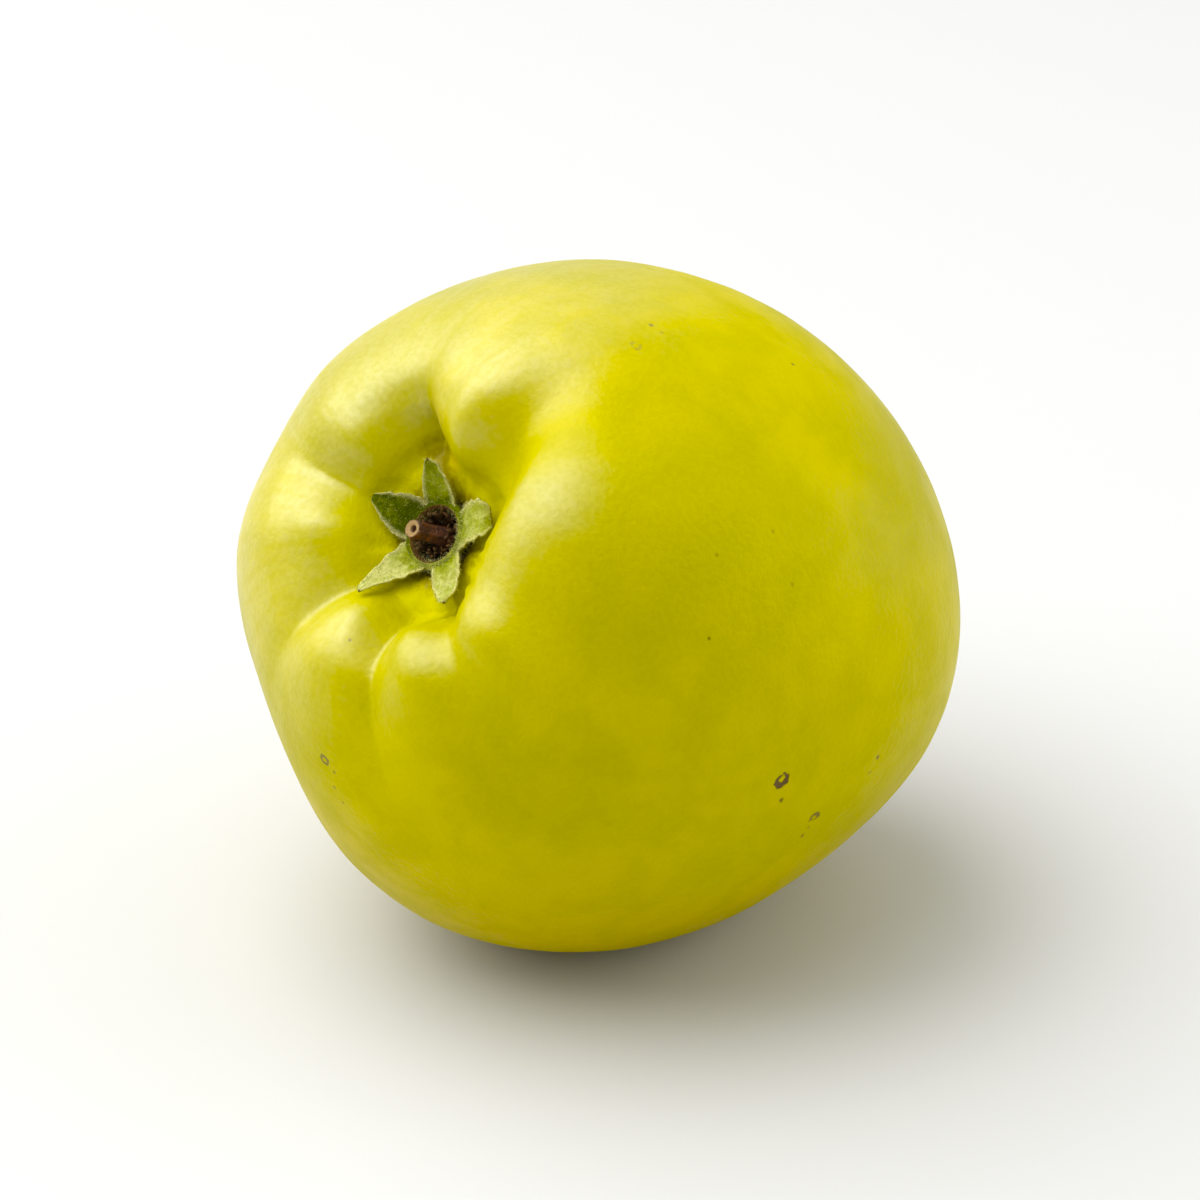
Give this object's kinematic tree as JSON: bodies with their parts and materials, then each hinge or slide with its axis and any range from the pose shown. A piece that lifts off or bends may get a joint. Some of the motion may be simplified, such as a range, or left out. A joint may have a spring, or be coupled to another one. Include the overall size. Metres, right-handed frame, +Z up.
{
  "type": "quince",
  "caption": "Whole ripe quince lying on its side: lumpy round yellow-green fruit with a furrowed calyx basin, dried sepals, stamens and style, and a short woody stem stub.",
  "frame": {"origin": "bottom centre of the bounding box, on the surface the fruit lies on, inside its small flat resting spot", "axes": "+Z up; the fruit's own axis lies in the YZ plane, its calyx end towards -Y and 36.7 degrees above the horizontal, its stem end towards +Y and down"},
  "size_m": [0.0814, 0.0892, 0.0833],
  "materials": {
    "skin": "waxy yellow-green fruit skin, satin, with patches of deeper olive and pale dots",
    "sepal": "dull green, downy, with pale edges and dry brown tips",
    "dried_stamen": "dry dark brown, matt",
    "dried_style": "dry red-brown with a tan cut end, matt",
    "stem_wood": "dry greyish brown bark, matt"
  },
  "bodies": {
    "root": {"fruit": "skin", "calyx": "sepal", "stamens": "dried_stamen", "style": "dried_style", "stem": "stem_wood"}
  },
  "joints": []
}
